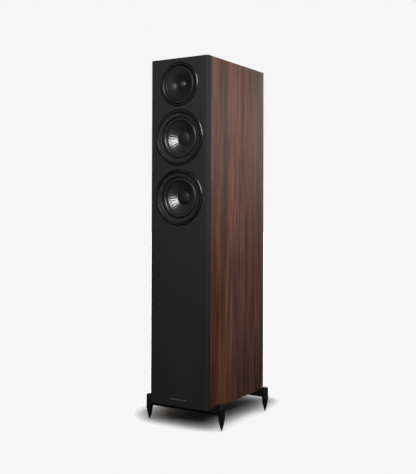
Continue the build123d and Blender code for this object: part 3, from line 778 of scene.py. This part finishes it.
def driver(name, zc, body):
    bead = path2d(
        (75.15, 0), ((70.8, -1.73), (66.45, 0)), (66.35, 0.5), (66.35, 2.4), (71.4, 2.4), (71.6, 7.0),
        (73.2, 7.0), (73.2, 0.0), n=28)
    ob = finish_mesh(name + "_trim_bead", lathe_bm(bead, about_y(0, zc), 320), MATS["bead"], "cabinet", [name + "_trim_ring"], angle=38)
    satin_feet(ob, zc, 68.0, 74.8)
    flange = path2d(
        (66.35, 0.2), (66.1, 0.35), (58.0, 0.35), ((56.586, 0.936), (56.0, 2.35)), (55.6, 6.4),
        (55.6, 7.0), (57.4, 7.0), (57.8, 2.4), (66.35, 2.4), n=12)
    finish_mesh(name + "_trim_flange", lathe_bm(flange, about_y(0, zc), 288), MATS["trim_plastic"], "cabinet", [name + "_trim_ring"], angle=50)

    # roll surround in two rings that share the crest: the outer one stays with the frame,
    # the inner one is attached to no body and stays where it is built
    outer = [(55.4, 7.0), (55.4, 6.2), (53.15, 6.2), (53.0, 6.05)] + arc3((53.0, 6.05), (52.55, 3.256), (49.9, 1.9), 22) + \
        [(49.9, 2.71)] + arc3((49.9, 2.71), (51.89, 3.73), (52.33, 5.5), 14) + [(52.33, 7.0)]
    finish_mesh(name + "_roll_outer", lathe_bm(outer, about_y(0, zc), 288), RUBBER[name], "cabinet", [name + "_surround"], angle=60)
    inner = [(49.9, 1.9)] + arc3((49.9, 1.9), (44.77, 3.84), (42.2, 8.7), 36) + [(41.9, 8.75), (40.4, 8.75), (40.2, 8.95), (40.2, 9.45), (43.0, 9.45)] + \
        arc3((43.0, 9.45), (45.3, 4.447), (49.9, 2.71), 30)
    ob = finish_mesh(name + "_roll_inner", lathe_bm(inner, about_y(0, zc), 288), RUBBER[name], None, [name + "_surround"], angle=60)
    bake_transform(ob)

    # cone: ribbed front skin and plain back skin
    front = split_long([(42.4, 9.5)] + cone_pts(46), 0.6, False)
    back = [(12.9, 31.0)] + arc3((12.9, 31.0), (26.4, 19.5), (40.3, 10.2), 24) + [(42.4, 10.2)]
    bm = lathe_bm(front + back, about_y(0, zc), 28 * 18, shift=lambda r, a, u: rib_shift(r, a, u) if u < face_at_fast(r) + 0.1 else 0.0)
    finish_mesh(name + "_ribbed_cone", bm, CONE[name], body, [name + "_cone"], angle=60)

    ra, rb = 18.3, 17.3
    ua, ub = face_at(ra) - 0.02, face_at(rb) - 0.02
    cap = [(0, 19.4)] + arc3((0, 19.4), cap_arc(ra, 19.4, ua - 0.3), (ra - 0.25, ua - 0.42), 28) + \
        [(ra, ua - 0.25), (ra, ua), (rb, ub)] + arc3((rb, ub), cap_arc(rb, 20.0, ub), (0, 20.0), 16)
    finish_mesh(name + "_cap_dome", lathe_bm(cap, about_y(0, zc), 192, closed=False), MATS["cap_soft"], body, [name + "_dust_cap"], angle=40)
    # fillet of glue where the cap meets the cone
    g = [(ra - 0.1, ua - 0.35), (ra + 0.35, face_at(ra + 0.35) - 0.22), (ra + 0.9, face_at(ra + 0.9) - 0.02), (ra + 0.5, face_at(ra + 0.5) + 0.1), (ra - 0.1, ua + 0.1)]
    finish_mesh(name + "_cap_glue", lathe_bm(g, about_y(0, zc), 192), MATS["trim_plastic"], body, (), angle=60)


_pts = cone_pts(600)
_r = np.array([p[0] for p in _pts][::-1])
_u = np.array([p[1] for p in _pts][::-1])


def face_at_fast(r):
    return float(np.interp(r, _r, _u))


driver("midrange", Z_MID, "midrange_diaphragm")
driver("woofer", Z_WF, "woofer_diaphragm")

# ------------------------------------------------------------------ tweeter
tw_bead = path2d(
    (59.2, 0), ((54.85, -1.73), (50.5, 0)), (50.4, 0.6), (50.4, 2.4), (55.4, 2.4), (55.4, 4.5), (56.9, 4.5), (56.9, 0), n=28)
tw_ob = finish_mesh("tweeter_trim_bead", lathe_bm(tw_bead, about_y(0, Z_TW), 288), MATS["bead"], "cabinet", ["tweeter_trim_ring"], angle=38)
satin_feet(tw_ob, Z_TW, 51.8, 58.9)
tw_flange = path2d((50.4, 0.3), (49.7, 1.2), (47.6, 1.6), (47.6, 4.5), (48.5, 4.5), (48.5, 2.4), (50.4, 2.4))
finish_mesh("tweeter_trim_flange", lathe_bm(tw_flange, about_y(0, Z_TW), 256), MATS["waveguide"], "cabinet", ["tweeter_trim_ring"], angle=50)
tw_face = path2d(
    (56.5, 4.5), (47.4, 4.5), (47.4, 1.8), (44.4, 1.8), ((43.5, 0.6), (41.8, 0.1)),
    ((40.6, 0.35), (39.6, 1.2)), ((27.0, 4.6), (16.6, 10.0)), (16.6, 12.0), (30.0, 12.0),
    (30.0, 13.5), (39.5, 13.5), (39.5, 6.0), (56.5, 6.0), n=18)
finish_mesh("tweeter_waveguide", lathe_bm(tw_face, about_y(0, Z_TW), 256), MATS["waveguide"], "cabinet", ["tweeter_faceplate"], angle=38)
dome = path2d(
    (0, 7.4), (cap_arc(12.55, 7.4, 12.0), (12.55, 12.0)), ((14.4, 10.6), (16.2, 12.4)), (18.0, 12.4),
    (18.0, 12.8), (15.8, 12.8), ((14.4, 11.2), (12.95, 12.6)), (12.1, 12.6), (cap_arc(12.1, 7.85, 12.6), (0, 7.85)), n=24)
finish_mesh("tweeter_soft_dome", lathe_bm(dome, about_y(0, Z_TW), 192, closed=False), MATS["dome_textile"], "tweeter_diaphragm", ["tweeter_dome"], angle=50)

# ------------------------------------------------------------------ rear port
d = DEPTH / MM
FL = 13.5
uc = d + 2.5 - FL
kk = math.sqrt(0.5)
port = path2d(
    (25.0, d - 147.5), (25.0, uc), ((25.0 + FL * (1 - kk), uc + FL * kk), (25.0 + FL, d + 2.5)), (41.0, d + 2.5),
    ((41.85, d + 2.1), (42.2, d + 1.2)), (42.2, d), (25.0 + FL, d),
    ((25.0 + FL - 11.0 * kk, uc + 11.0 * kk), (27.5, uc)), (27.5, d - 148.8), ((26.2, d - 150.0), (25.0, d - 147.5)), n=20)
finish_mesh("port_flared_tube", lathe_bm(port, about_y(0, Z_PORT), 160), MATS["port_plastic"], "cabinet", ["port_tube"], angle=40)

# ------------------------------------------------------------------ feet
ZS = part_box("spike_fl")[1].z / MM          # top of the spike's shoulder
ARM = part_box("outrigger_front")[1].z / MM
BOSS = 9.25


def bar_profile():
    z0 = ZBOT / MM
    right = [(90.4, z0)] + arc3((90.4, z0), (95.4, z0 + 2.4), (97.5, z0 + 7.5), 10) + [(97.5, ARM), (115.0, ARM), (115.0, ZS)]
    left = [(-x, z) for x, z in right]
    return right + list(reversed(left))


def outrigger(name, node):
    lo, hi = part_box(node)
    yc = (lo.y + hi.y) / 2
    poly = bar_profile()
    half = 8.0
    bev = 0.9

    def shrink(k):
        # moves the outline inwards by k on the bottom, the arm tops and the inner step
        def f(pts):
            out = []
            for x, z in pts:
                s = 1 if x > 0 else -1
                nz = z
                nx = x
                if abs(z - ZS) < 0.01:
                    nz = z + k
                elif abs(z - ARM) < 0.01:
                    nz = z - k
                if abs(abs(x) - 97.5) < 0.01:
                    nx = x + s * k
                out.append((nx, nz))
            return out
        return f
    lv = [(-half, shrink(bev)), (-half + 0.26, shrink(0.26)), (-half + bev, shrink(0.0)),
          (half - bev, shrink(0.0)), (half - 0.26, shrink(0.26)), (half, shrink(bev))]
    bm = prism(poly, lv, lambda x, z, h: (x * MM, yc + h * MM, z * MM))
    ob = finish_mesh(name, bm, MATS["foot_black"], None)
    for sx in (-1, 1):
        boss = path2d((0, ZS), (BOSS - 0.5, ZS), ((BOSS - 0.14, ZS + 0.14), (BOSS, ZS + 0.5)), (BOSS, ARM - 0.5),
                      ((BOSS - 0.14, ARM - 0.14), (BOSS - 0.5, ARM)), (0, ARM), n=4)
        boolean(ob, lathe_bm(boss, about_z(sx * 0.115, yc), 96, closed=False), "UNION")
    for sx in (-1, 1):
        boolean(ob, lathe_bm([(0, 0), (4.1, 0), (4.1, 200), (0, 200)], about_z(sx * 0.115, yc), 64, closed=False))
    for x in (-60, 0, 60):
        boolean(ob, lathe_bm([(0, 0), (5.6, 0), (5.6, ZS + 6.0), (3.1, ZS + 6.0), (3.1, 90), (0, 90)], about_z(x * MM, yc), 64, closed=False))
    tidy(ob, 35)
    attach(ob, "cabinet")
    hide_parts(node)


outrigger("outrigger_bar_front", "outrigger_front")
outrigger("outrigger_bar_rear", "outrigger_rear")


def thread_bm(r_out, depth, pitch, z0, z1, cx, cy, seg=48, along="z", hollow=0.0):
    """Screw with a real helical thread between z0 and z1 (mm), closed ends."""
    bm = bmesh.new()
    per = 8
    rows = int((z1 - z0) / pitch * per) + 1
    rings = []
    for i in range(rows + 1):
        h = z0 + (z1 - z0) * i / rows
        ring = []
        edge = min(1.0, (h - z0) / 0.8, (z1 - h) / 0.8)
        for k in range(seg):
            a = 2 * math.pi * k / seg
            ph = ((h / pitch) - a / (2 * math.pi)) % 1.0
            tri = 1 - abs(2 * ph - 1)
            rr_ = r_out - depth * (1 - min(1.0, tri * 1.25)) - (1 - edge) * depth
            if along == "z":
                ring.append(bm.verts.new((cx + rr_ * MM * math.cos(a), cy + rr_ * MM * math.sin(a), h * MM)))
            else:
                ring.append(bm.verts.new((cx + rr_ * MM * math.cos(a), yu(h), cy + rr_ * MM * math.sin(a))))
        rings.append(ring)
    for a_, b_ in zip(rings, rings[1:]):
        for k in range(seg):
            k2 = (k + 1) % seg
            bm.faces.new((a_[k], b_[k], b_[k2], a_[k2]))
    bm.faces.new(rings[0])
    bm.faces.new(rings[-1])
    return bm


def hex_bm(af, z0, z1, cx, cy, along="z"):
    bm = bmesh.new()
    pts = [(af / 2 / math.cos(math.pi / 6) * math.cos(math.pi / 3 * i), af / 2 / math.cos(math.pi / 6) * math.sin(math.pi / 3 * i)) for i in range(6)]
    rings = []
    for h in (z0, z1):
        rings.append([bm.verts.new((cx + x * MM, cy + y * MM, h * MM)) for x, y in pts])
    for k in range(6):
        k2 = (k + 1) % 6
        bm.faces.new((rings[0][k], rings[1][k], rings[1][k2], rings[0][k2]))
    bm.faces.new(rings[0])
    bm.faces.new(rings[1])
    return bm


cap_bms = []
for tag in ("fl", "fr", "rl", "rr"):
    lo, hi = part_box("spike_" + tag)
    cx, cy = (lo.x + hi.x) / 2, (lo.y + hi.y) / 2
    # bullet-shaped spike: flat tip, ogive, shoulder with a fine groove, blind bore for the screw
    cone_h = 34.0
    prof = [(0, 0.0), (0.8, 0.0)] + arc3((0.8, 0.0), (5.7, 16.5), (8.75, cone_h - 0.8), 40) + \
        [(9.05, cone_h + 0.2), (9.2, cone_h + 0.9), (BOSS, cone_h + 1.4), (BOSS, ZS - 2.1), (8.95, ZS - 1.8), (8.95, ZS - 1.3), (BOSS, ZS - 1.0),
         (BOSS, ZS - 0.35), (BOSS - 0.3, ZS - 0.02), (4.4, ZS - 0.02), (4.1, ZS - 0.4), (4.1, 22.5), (0, 22.5)]
    finish_mesh("spike_turned_" + tag, lathe_bm(prof, about_z(cx, cy), 96, closed=False), MATS["spike_black"], "spike_" + tag,
                ["spike_" + tag], angle=35)
    slo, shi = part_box("levelling_screw_" + tag)
    ob = finish_mesh("levelling_screw_threaded_" + tag, thread_bm(4.0, 0.65, 1.25, slo.z / MM, shi.z / MM, cx, cy), MATS["screw_steel"], None, angle=60)
    boolean(ob, hex_bm(4.0, shi.z / MM - 4.5, shi.z / MM + 2, cx, cy))
    tidy(ob, 50)
    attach(ob, "levelling_screw_" + tag)
    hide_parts("levelling_screw_" + tag)
    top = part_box("lock_caps")[1].z / MM
    cap_bms.append(lathe_bm(path2d((3.2, ARM), (3.2, top - 0.5), ((3.35, top - 0.15), (3.7, top)), (BOSS - 0.9, top),
                                   ((BOSS - 0.26, top - 0.26), (BOSS, top - 0.9)), (BOSS, ARM + 0.7), (BOSS - 0.35, ARM + 0.35), (BOSS - 0.35, ARM), n=5),
                            about_z(cx, cy), 96))
bm = join_bm(*cap_bms)
finish_mesh("lock_caps_turned", bm, MATS["spike_black"], "cabinet", ["lock_caps"], angle=35)

# ------------------------------------------------------------------ terminals
tlo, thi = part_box("terminal_plate")
ZT = (tlo.z + thi.z) / 2


def round_rect(w, h, r, n=6):
    pts = []
    for sx, sy, a0 in ((1, 1, 0), (-1, 1, 90), (-1, -1, 180), (1, -1, 270)):
        for i in range(n + 1):
            a = math.radians(a0 + 90 * i / n)
            pts.append((sx * (w / 2 - r) + r * math.cos(a), sy * (h / 2 - r) + r * math.sin(a)))
    return pts


def scaled(k):
    def f(pts):
        return [(x - k * (1 if x > 0 else -1) * min(1, abs(x) / 30.0), y - k * (1 if y > 0 else -1) * min(1, abs(y) / 20.0)) for x, y in pts]
    return f


d_out = d + 3.0
plate_levels = [(d, scaled(0)), (d_out - 0.8, scaled(0)), (d_out - 0.24, scaled(0.24)), (d_out, scaled(0.8))]
bm = prism(round_rect(108, 80, 8, 8), plate_levels, lambda x, z, u: (x * MM, yu(u), ZT + z * MM))
plate = finish_mesh("terminal_panel", bm, MATS["terminal_plastic"], None)
# shallow raised frame round the posts
ring_out = prism(round_rect(78, 56, 6, 8), [(d_out - 1.2, scaled(0)), (d_out + 0.5, scaled(0)), (d_out + 0.8, scaled(0.3))], lambda x, z, u: (x * MM, yu(u), ZT + z * MM))
boolean(plate, ring_out, "UNION")
ring_in = prism(round_rect(75, 53, 5, 8), [(d_out - 0.0, scaled(0)), (d_out + 3, scaled(0))], lambda x, z, u: (x * MM, yu(u), ZT + z * MM))
boolean(plate, ring_in)
for sx in (-1, 1):
    for sz in (-1, 1):
        boolean(plate, lathe_bm([(0, d - 1), (4.05, d - 1), (4.05, d_out + 1), (0, d_out + 1)], about_y(sx * 0.019, ZT + sz * 0.016), 48, closed=False))
        boolean(plate, lathe_bm([(0, d - 1), (1.8, d - 1), (1.8, d_out - 1.6), (3.4, d_out), (3.4, d_out + 1), (0, d_out + 1)], about_y(sx * 0.047, ZT + sz * 0.033), 48, closed=False))
tidy(plate, 35)
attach(plate, "cabinet")
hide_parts("terminal_plate")

POSTS = {"hf_pos": (19, 16), "hf_neg": (-19, 16), "lf_pos": (19, -16), "lf_neg": (-19, -16)}
post_bms = []
u_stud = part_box("binding_posts")[1].y
u_stud = (u_stud - YF) / MM
for tag, (dx, dz) in POSTS.items():
    cx, cz = dx * MM, ZT + dz * MM
    # collar and threaded stud with the plug socket, with a plain shank inside
    stud = path2d((0, d - 11.0), (3.9, d - 11.0), (3.9, d_out), (8.2, d_out), ((8.45, d_out + 0.1), (8.5, d_out + 0.4)), (8.5, d_out + 3.6),
                  ((8.4, d_out + 3.9), (8.1, d_out + 4.0)), (3.4, d_out + 4.0), (3.4, u_stud - 21.0), (0, u_stud - 21.0), n=4)
    post_bms.append(lathe_bm(stud, about_y(cx, cz), 64, closed=False))
    th = thread_bm(4.0, 0.5, 1.25, d_out + 4.0, u_stud, cx, cz, seg=48, along="y")
    post_bms.append(th)
post = finish_mesh("binding_posts_turned", join_bm(*post_bms), MATS["gold_brass"], None, angle=50)
for tag, (dx, dz) in POSTS.items():
    boolean(post, lathe_bm([(0, u_stud - 20.0), (2.0, u_stud - 20.0), (2.0, u_stud - 0.5), (2.5, u_stud + 0.01), (2.5, u_stud + 1), (0, u_stud + 1)], about_y(dx * MM, ZT + dz * MM), 48, closed=False))
tidy(post, 45)
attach(post, "cabinet")
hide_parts("binding_posts")

for tag, (dx, dz) in POSTS.items():
    cx, cz = dx * MM, ZT + dz * MM
    lo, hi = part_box("clamp_washer_" + tag)
    u0, u1 = (lo.y - YF) / MM, (hi.y - YF) / MM
    w = path2d((4.15, u0), (7.5, u0), ((7.72, u0 + 0.1), (7.8, u0 + 0.35)), (7.8, u1 - 0.35), ((7.72, u1 - 0.1), (7.5, u1)), (4.15, u1), n=4)
    finish_mesh("washer_turned_" + tag, lathe_bm(w, about_y(cx, cz), 96), MATS["gold_brass"], "clamp_washer_" + tag, ["clamp_washer_" + tag], angle=40)
    lo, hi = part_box("post_cap_" + tag)
    u0, u1 = (lo.y - YF) / MM, (hi.y - YF) / MM
    seg = 200
    bm = bmesh.new()

    def grip(a, k):
        """Radius of the fluted grip at angle a, k from 0 plain to 1 full flutes."""
        f = 0.5 - 0.5 * math.cos(a * 10)
        return 8.0 - 0.62 * k * (f ** 1.6) * 1.4
    lvls = [(u0, 4.1, None), (u0, 7.6, 0), (u0 + 0.12, 7.86, 0), (u0 + 0.4, 8.0, 0), (u0 + 2.7, 8.0, 0), (u0 + 2.95, 7.9, 0.25), (u0 + 3.3, 8.0, 1.0), (u1 - 1.2, 8.0, 1.0),
            (u1 - 0.45, 7.75, 1.0), (u1 - 0.1, 7.25, 0.9), (u1, 6.7, 0.8), (u1, 4.6, 0), (u1 - 0.12, 4.3, 0), (u1 - 0.4, 4.12, None)]
    rings = []
    for u, r, k in lvls:
        ring = []
        for j in range(seg):
            a = 2 * math.pi * j / seg
            rr2 = r
            if k:
                rr2 = r - (8.0 - grip(a, k))
            ring.append(bm.verts.new((cx + rr2 * MM * math.cos(a), yu(u), cz + rr2 * MM * math.sin(a))))
        rings.append(ring)
    for i in range(len(rings)):
        a_, b_ = rings[i], rings[(i + 1) % len(rings)]
        for k in range(seg):
            k2 = (k + 1) % seg
            bm.faces.new((a_[k], b_[k], b_[k2], a_[k2]))
    mat = MATS["cap_red"] if "pos" in tag else MATS["cap_black"]
    cap = finish_mesh("cap_fluted_" + tag, bm, mat, "post_cap_" + tag, ["post_cap_" + tag], angle=40)

# ------------------------------------------------------------------ stage and light
floor_me = bpy.data.meshes.new("floor")
bm = bmesh.new()
bmesh.ops.create_grid(bm, x_segments=1, y_segments=1, size=22.0)
bm.to_mesh(floor_me)
bm.free()
floor = bpy.data.objects.new("floor", floor_me)
SCENE.collection.objects.link(floor)
m = Mat("pale_floor")
m.set(color=m.ramp(m.noise(3.0, 3.0), [(0.3, (0.895, 0.895, 0.895)), (0.7, (0.905, 0.905, 0.905))]), rough=0.95, spec=0.0)
floor_me.materials.append(m.m)
floor.location.z = -0.0002
floor.visible_diffuse = False
floor.visible_glossy = False

dome_me = bpy.data.meshes.new("backdrop")
bm = bmesh.new()
bmesh.ops.create_uvsphere(bm, u_segments=64, v_segments=32, radius=20.0)
bm.to_mesh(dome_me)
bm.free()
dome_ob = bpy.data.objects.new("backdrop", dome_me)
SCENE.collection.objects.link(dome_ob)
dm = bpy.data.materials.new("backdrop_white")
dm.use_nodes = True
dm.node_tree.nodes.clear()
em = dm.node_tree.nodes.new("ShaderNodeEmission")
em.inputs["Color"].default_value = (0.922, 0.922, 0.922, 1)
em.inputs["Strength"].default_value = 1.0
out = dm.node_tree.nodes.new("ShaderNodeOutputMaterial")
dm.node_tree.links.new(em.outputs[0], out.inputs["Surface"])
dome_me.materials.append(dm)
dome_ob.visible_diffuse = False
dome_ob.visible_glossy = False
dome_ob.visible_transmission = False
dome_ob.visible_shadow = False

vs = SCENE.view_settings
vs.use_curve_mapping = True
cm = vs.curve_mapping
cm.use_clip = True
cv = cm.curves[3]
cv.points[0].location = (0.0, 0.0)
cv.points[1].location = (1.0, 0.9216)
pt = cv.points.new(0.9216, 0.9216)
for q in cv.points:
    q.handle_type = "VECTOR"
cm.update()

world = bpy.data.worlds.new("studio")
SCENE.world = world
world.use_nodes = True
world.node_tree.nodes["Background"].inputs["Color"].default_value = (1.0, 1.0, 1.0, 1.0)
world.node_tree.nodes["Background"].inputs["Strength"].default_value = 0.03

AIM = Vector((0.0, YF, Z_MID))
not_floor = bpy.data.collections.new("lit_by_object_lights")
not_floor.objects.link(floor)
only_floor = bpy.data.collections.new("lit_by_floor_light")
only_floor.objects.link(floor)


def area(name, place, size, power, aim=AIM, color=(1, 1, 1)):
    ld = bpy.data.lights.new(name, "AREA")
    ld.shape = "RECTANGLE"
    ld.size, ld.size_y = size
    ld.energy = power
    ld.color = color
    ob = bpy.data.objects.new(name, ld)
    SCENE.collection.objects.link(ob)
    ob.location = place
    z = (Vector(place) - aim).normalized()
    x = Vector((0, 0, 1)).cross(z).normalized()
    y = z.cross(x)
    ob.rotation_euler = Matrix((x, y, z)).transposed().to_euler()
    ob.light_linking.receiver_collection = not_floor
    ob.visible_camera = False
    return ob


def toward(az, el, dist, aim=AIM):
    """A place az degrees to +X from straight ahead of the drivers and el degrees up, dist metres off."""
    a, e = math.radians(az), math.radians(el)
    return aim + Vector((math.sin(a) * math.cos(e), -math.cos(a) * math.cos(e), math.sin(e))) * dist


area("key_softbox", toward(39, 24, 1.6), (0.75, 0.8), 33.0)
area("front_fill", toward(-20, 8, 2.4), (1.2, 1.6), 5.0)
area("side_softbox", (0.85, 0.38, 0.90), (0.6, 0.6), 3.9, aim=Vector((HALF_W, 0.03, 0.88)))
area("rear_card", (1.45, 2.3, 1.5), (1.6, 1.2), 3.8, aim=Vector((HALF_W, 0.0, 0.9)))
area("left_softbox", (-1.45, 0.32, 1.05), (0.9, 0.9), 15.0, aim=Vector((-HALF_W, 0.05, 0.65)))
area("back_softbox", (-0.45, 2.1, 1.15), (1.0, 1.0), 26.0, aim=Vector((0.0, 0.15, 0.6)))
for co in not_floor.collection_objects:
    co.light_linking.link_state = "EXCLUDE"

# the floor's own overhead light, shaded by the feet and by a flag under the cabinet that reaches back and to the left
flag_me = bpy.data.meshes.new("floor_flag")
bm = bmesh.new()
fx = (-HALF_W - 0.115, HALF_W + 0.012)
fy = (YF, YF + DEPTH + 0.125)
cut = 0.07
outline = [(fx[0] + cut, fy[0]), (fx[1], fy[0]), (fx[1], fy[1] - 0.03), (fx[1] - 0.03, fy[1]), (fx[0] + 0.03, fy[1]), (fx[0], fy[1] - 0.03), (fx[0], fy[0] + 0.09)]
bm.faces.new([bm.verts.new((x, y, ZBOT - 0.006)) for x, y in outline])
bm.to_mesh(flag_me)
bm.free()
flag = bpy.data.objects.new("floor_flag", flag_me)
SCENE.collection.objects.link(flag)
flag.visible_camera = False
flag.visible_diffuse = False
flag.visible_glossy = False
flag.visible_transmission = False
blockers = bpy.data.collections.new("shades_the_floor")
blockers.objects.link(flag)
for ob in SCENE.objects:
    if ob.name.startswith(("bottom_panel", "spike_turned", "outrigger_bar", "lock_caps_turned")):
        blockers.objects.link(ob)
not_by_flag = bpy.data.collections.new("not_shaded_by_flag")
not_by_flag.objects.link(flag)
for co in not_by_flag.collection_objects:
    co.light_linking.link_state = "EXCLUDE"
for ob in SCENE.objects:
    if ob.type == "LIGHT":
        ob.light_linking.blocker_collection = not_by_flag
sun_d = bpy.data.lights.new("floor_sky", "SUN")
sun_d.energy = 5.2
sun_d.angle = math.radians(128)
sun = bpy.data.objects.new("floor_sky", sun_d)
SCENE.collection.objects.link(sun)
sun.light_linking.receiver_collection = only_floor
sun.light_linking.blocker_collection = blockers
